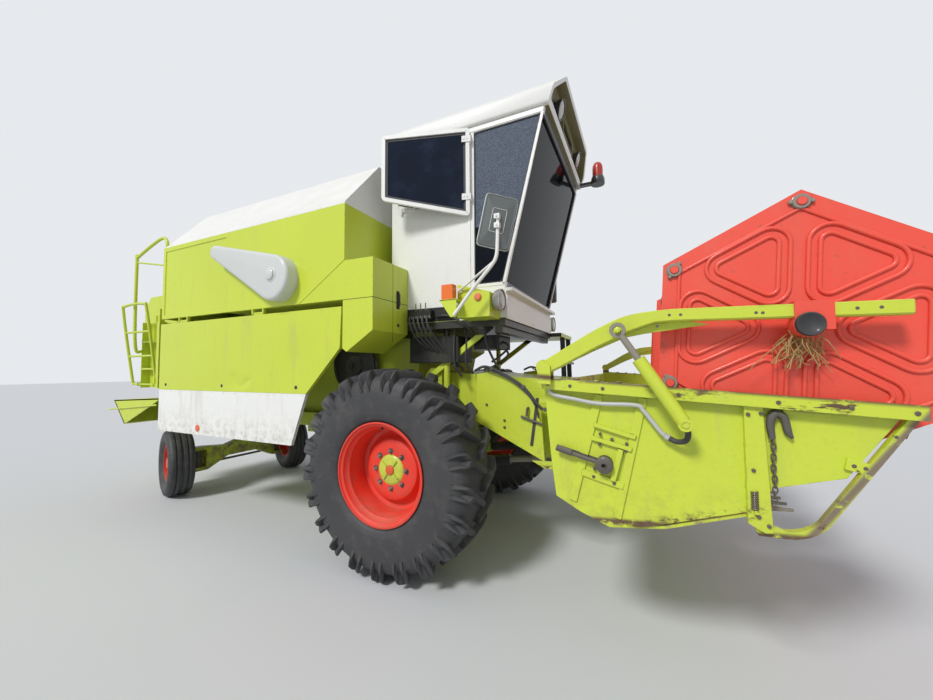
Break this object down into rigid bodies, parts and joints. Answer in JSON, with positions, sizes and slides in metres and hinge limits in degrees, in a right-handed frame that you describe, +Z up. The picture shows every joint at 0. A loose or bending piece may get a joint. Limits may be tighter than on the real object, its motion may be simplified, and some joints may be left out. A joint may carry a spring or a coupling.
{
  "type": "combine harvester",
  "caption": "Self-propelled combine harvester with a raised grain header, reel, glazed cab, grain tank and steered rear wheels.",
  "frame": {"origin": "on the ground under the middle of the machine's overall length and width", "axes": "+X forward, +Y to the machine's left, +Z up"},
  "size_m": [6.7292, 3.202, 3.535],
  "materials": {
    "green_paint": "semi-gloss yellow-green enamel",
    "white_paint": "semi-gloss white enamel",
    "dark_paint": "dark enamel",
    "red_paint": "semi-gloss red enamel",
    "guard_grey": "grey-white enamel",
    "tyre_rubber": "worn rubber",
    "cab_glass": "tinted glass",
    "seat_cover": "vinyl cover",
    "lamp_plastic": "orange lens",
    "cylinder_rod": "hard chrome"
  },
  "bodies": {
    "chassis": {"chassis_frame": "green_paint", "threshing_body": "green_paint", "straw_hood": "green_paint", "grain_tank": "green_paint", "tank_roof": "white_paint", "engine_hood": "green_paint", "engine_block": "dark_paint", "front_boxes": "green_paint", "belt_guard": "guard_grey", "cab_floor": "dark_paint", "cab_shell": "white_paint", "cab_roof": "white_paint", "cab_glass": "cab_glass", "side_window": "white_paint", "operator_seat": "seat_cover", "steering_column": "dark_paint", "cab_fascia": "white_paint", "lamps": "lamp_plastic", "mirrors": "dark_paint", "access_steps": "dark_paint", "rear_ladder": "green_paint", "front_axle": "dark_paint", "rear_axle": "green_paint"},
    "tank_lid": {"tank_lid": "white_paint"},
    "side_panel_right": {"side_panel_right": "green_paint"},
    "side_panel_left": {"side_panel_left": "green_paint"},
    "cab_door": {"cab_door": "white_paint"},
    "unloading_auger": {"unloading_auger": "green_paint"},
    "front_wheel_right": {"front_rim_right": "red_paint", "front_tyre_right": "tyre_rubber"},
    "front_wheel_left": {"front_rim_left": "red_paint", "front_tyre_left": "tyre_rubber"},
    "knuckle_right": {"knuckle_right": "dark_paint"},
    "knuckle_left": {"knuckle_left": "dark_paint"},
    "track_rod": {"track_rod": "dark_paint"},
    "rear_wheel_right": {"rear_rim_right": "red_paint", "rear_tyre_right": "tyre_rubber"},
    "rear_wheel_left": {"rear_rim_left": "red_paint", "rear_tyre_left": "tyre_rubber"},
    "header": {"feeder_house": "green_paint", "header_trough": "green_paint", "header_sides": "green_paint", "cutter_bar": "dark_paint"},
    "lift_barrels": {"lift_barrels": "dark_paint"},
    "lift_rods": {"lift_rods": "cylinder_rod"},
    "table_auger": {"table_auger": "green_paint"},
    "reel_arms": {"reel_arms": "green_paint"},
    "reel_barrels": {"reel_barrels": "dark_paint"},
    "reel_rods": {"reel_rods": "cylinder_rod"},
    "reel_slides": {"reel_slides": "red_paint"},
    "reel": {"reel_frame": "red_paint"},
    "control_ring": {"control_ring": "dark_paint"},
    "tine_bar_1": {"tine_bar_1": "red_paint"},
    "tine_bar_2": {"tine_bar_2": "red_paint"},
    "tine_bar_3": {"tine_bar_3": "red_paint"},
    "tine_bar_4": {"tine_bar_4": "red_paint"},
    "tine_bar_5": {"tine_bar_5": "red_paint"},
    "tine_bar_6": {"tine_bar_6": "red_paint"}
  },
  "joints": [
    {"name": "tank_lid_hinge", "type": "hinge", "parent": "chassis", "child": "tank_lid", "pos_m": [-0.2846, 0.638, 3.177], "axis": [-1, 0, 0], "range_deg": [0, 100]},
    {"name": "side_panel_right_hinge", "type": "hinge", "parent": "chassis", "child": "side_panel_right", "pos_m": [-0.6846, -1.124, 1.911], "axis": [-1, 0, 0], "range_deg": [0, 95]},
    {"name": "side_panel_left_hinge", "type": "hinge", "parent": "chassis", "child": "side_panel_left", "pos_m": [-0.6846, 1.124, 1.911], "axis": [1, 0, 0], "range_deg": [0, 95]},
    {"name": "cab_door_hinge", "type": "hinge", "parent": "chassis", "child": "cab_door", "pos_m": [0.6354, 0.716, 2.435], "axis": [0, 0, 1], "range_deg": [0, 88]},
    {"name": "unloading_auger_swing", "type": "hinge", "parent": "chassis", "child": "unloading_auger", "pos_m": [0.1554, 1.295, 2.235], "axis": [0, 0, -1], "range_deg": [0, 100]},
    {"name": "front_wheel_right_spin", "type": "hinge", "parent": "chassis", "child": "front_wheel_right", "pos_m": [0.7154, -1, 0.715], "axis": [0, 1, 0], "continuous": true},
    {"name": "front_wheel_left_spin", "type": "hinge", "parent": "chassis", "child": "front_wheel_left", "pos_m": [0.7154, 1, 0.715], "axis": [0, 1, 0], "continuous": true},
    {"name": "steer_right", "type": "hinge", "parent": "chassis", "child": "knuckle_right", "pos_m": [-2.5046, -0.53, 0.37], "axis": [0, 0, 1], "range_deg": [-17, 53]},
    {"name": "steer_left", "type": "hinge", "parent": "chassis", "child": "knuckle_left", "pos_m": [-2.5046, 0.53, 0.37], "axis": [0, 0, 1], "range_deg": [-17, 53]},
    {"name": "track_rod_swing", "type": "hinge", "parent": "knuckle_right", "child": "track_rod", "pos_m": [-2.66153, -0.47901, 0.37], "axis": [0, 0, 1], "range_deg": [-53, 17]},
    {"name": "rear_wheel_right_spin", "type": "hinge", "parent": "knuckle_right", "child": "rear_wheel_right", "pos_m": [-2.56641, -0.72021, 0.37], "axis": [0.309, 0.9511, 0], "continuous": true},
    {"name": "rear_wheel_left_spin", "type": "hinge", "parent": "knuckle_left", "child": "rear_wheel_left", "pos_m": [-2.4428, 0.72021, 0.37], "axis": [0.309, 0.9511, 0], "continuous": true},
    {"name": "header_lift", "type": "hinge", "parent": "chassis", "child": "header", "pos_m": [0.8054, 0, 1.365], "axis": [0, 1, 0], "range_deg": [0, 22]},
    {"name": "lift_barrel_swing", "type": "hinge", "parent": "chassis", "child": "lift_barrels", "pos_m": [0.8854, 0, 0.635], "axis": [0, 1, 0], "range_deg": [0, 26.01]},
    {"name": "lift_rod_slide", "type": "slide", "parent": "lift_barrels", "child": "lift_rods", "axis": [0.9923, 0, 0.124], "range_m": [-0.275, 0]},
    {"name": "table_auger_spin", "type": "hinge", "parent": "header", "child": "table_auger", "pos_m": [2.2454, 0, 1], "axis": [0, 1, 0], "continuous": true},
    {"name": "reel_lift", "type": "hinge", "parent": "header", "child": "reel_arms", "pos_m": [1.9304, 0, 1.43], "axis": [0, -1, 0], "range_deg": [0, 16]},
    {"name": "reel_barrel_swing", "type": "hinge", "parent": "header", "child": "reel_barrels", "pos_m": [2.4904, 0, 1.205], "axis": [0, 1, 0], "range_deg": [-0.05, 0.13]},
    {"name": "reel_rod_slide", "type": "slide", "parent": "reel_barrels", "child": "reel_rods", "axis": [-0.5294, 0, 0.8484], "range_m": [0, 0.1003]},
    {"name": "reel_fore_aft", "type": "slide", "parent": "reel_arms", "child": "reel_slides", "axis": [0.9996, 0, -0.0266], "range_m": [-0.03, 0.16]},
    {"name": "reel_spin", "type": "hinge", "parent": "reel_slides", "child": "reel", "pos_m": [2.8854, 0, 1.575], "axis": [0, 1, 0], "continuous": true},
    {"name": "control_ring_spin", "type": "hinge", "parent": "reel_slides", "child": "control_ring", "pos_m": [2.8154, 1.43, 1.575], "axis": [0, 1, 0], "continuous": true},
    {"name": "tine_bar_1_level", "type": "hinge", "parent": "reel", "child": "tine_bar_1", "pos_m": [2.91585, 0, 2.05904], "axis": [0, 1, 0], "continuous": true},
    {"name": "tine_bar_2_level", "type": "hinge", "parent": "reel", "child": "tine_bar_2", "pos_m": [2.48143, 0, 1.84339], "axis": [0, 1, 0], "continuous": true},
    {"name": "tine_bar_3_level", "type": "hinge", "parent": "reel", "child": "tine_bar_3", "pos_m": [2.45098, 0, 1.35935], "axis": [0, 1, 0], "continuous": true},
    {"name": "tine_bar_4_level", "type": "hinge", "parent": "reel", "child": "tine_bar_4", "pos_m": [2.85494, 0, 1.09096], "axis": [0, 1, 0], "continuous": true},
    {"name": "tine_bar_5_level", "type": "hinge", "parent": "reel", "child": "tine_bar_5", "pos_m": [3.28936, 0, 1.30661], "axis": [0, 1, 0], "continuous": true},
    {"name": "tine_bar_6_level", "type": "hinge", "parent": "reel", "child": "tine_bar_6", "pos_m": [3.31982, 0, 1.79065], "axis": [0, 1, 0], "continuous": true}
  ],
  "couplings": [
    {"joint": "steer_left", "follows": "steer_right", "ratio": 1},
    {"joint": "track_rod_swing", "follows": "steer_right", "ratio": -1},
    {"joint": "lift_barrel_swing", "follows": "header_lift", "ratio": 1.18},
    {"joint": "lift_rod_slide", "follows": "header_lift", "m_per_rad": -0.715},
    {"joint": "reel_barrel_swing", "follows": "reel_lift", "ratio": 0.005},
    {"joint": "reel_rod_slide", "follows": "reel_lift", "m_per_rad": 0.3575},
    {"joint": "control_ring_spin", "follows": "reel_spin", "ratio": 1},
    {"joint": "tine_bar_1_level", "follows": "reel_spin", "ratio": -1},
    {"joint": "tine_bar_2_level", "follows": "reel_spin", "ratio": -1},
    {"joint": "tine_bar_3_level", "follows": "reel_spin", "ratio": -1},
    {"joint": "tine_bar_4_level", "follows": "reel_spin", "ratio": -1},
    {"joint": "tine_bar_5_level", "follows": "reel_spin", "ratio": -1},
    {"joint": "tine_bar_6_level", "follows": "reel_spin", "ratio": -1}
  ]
}
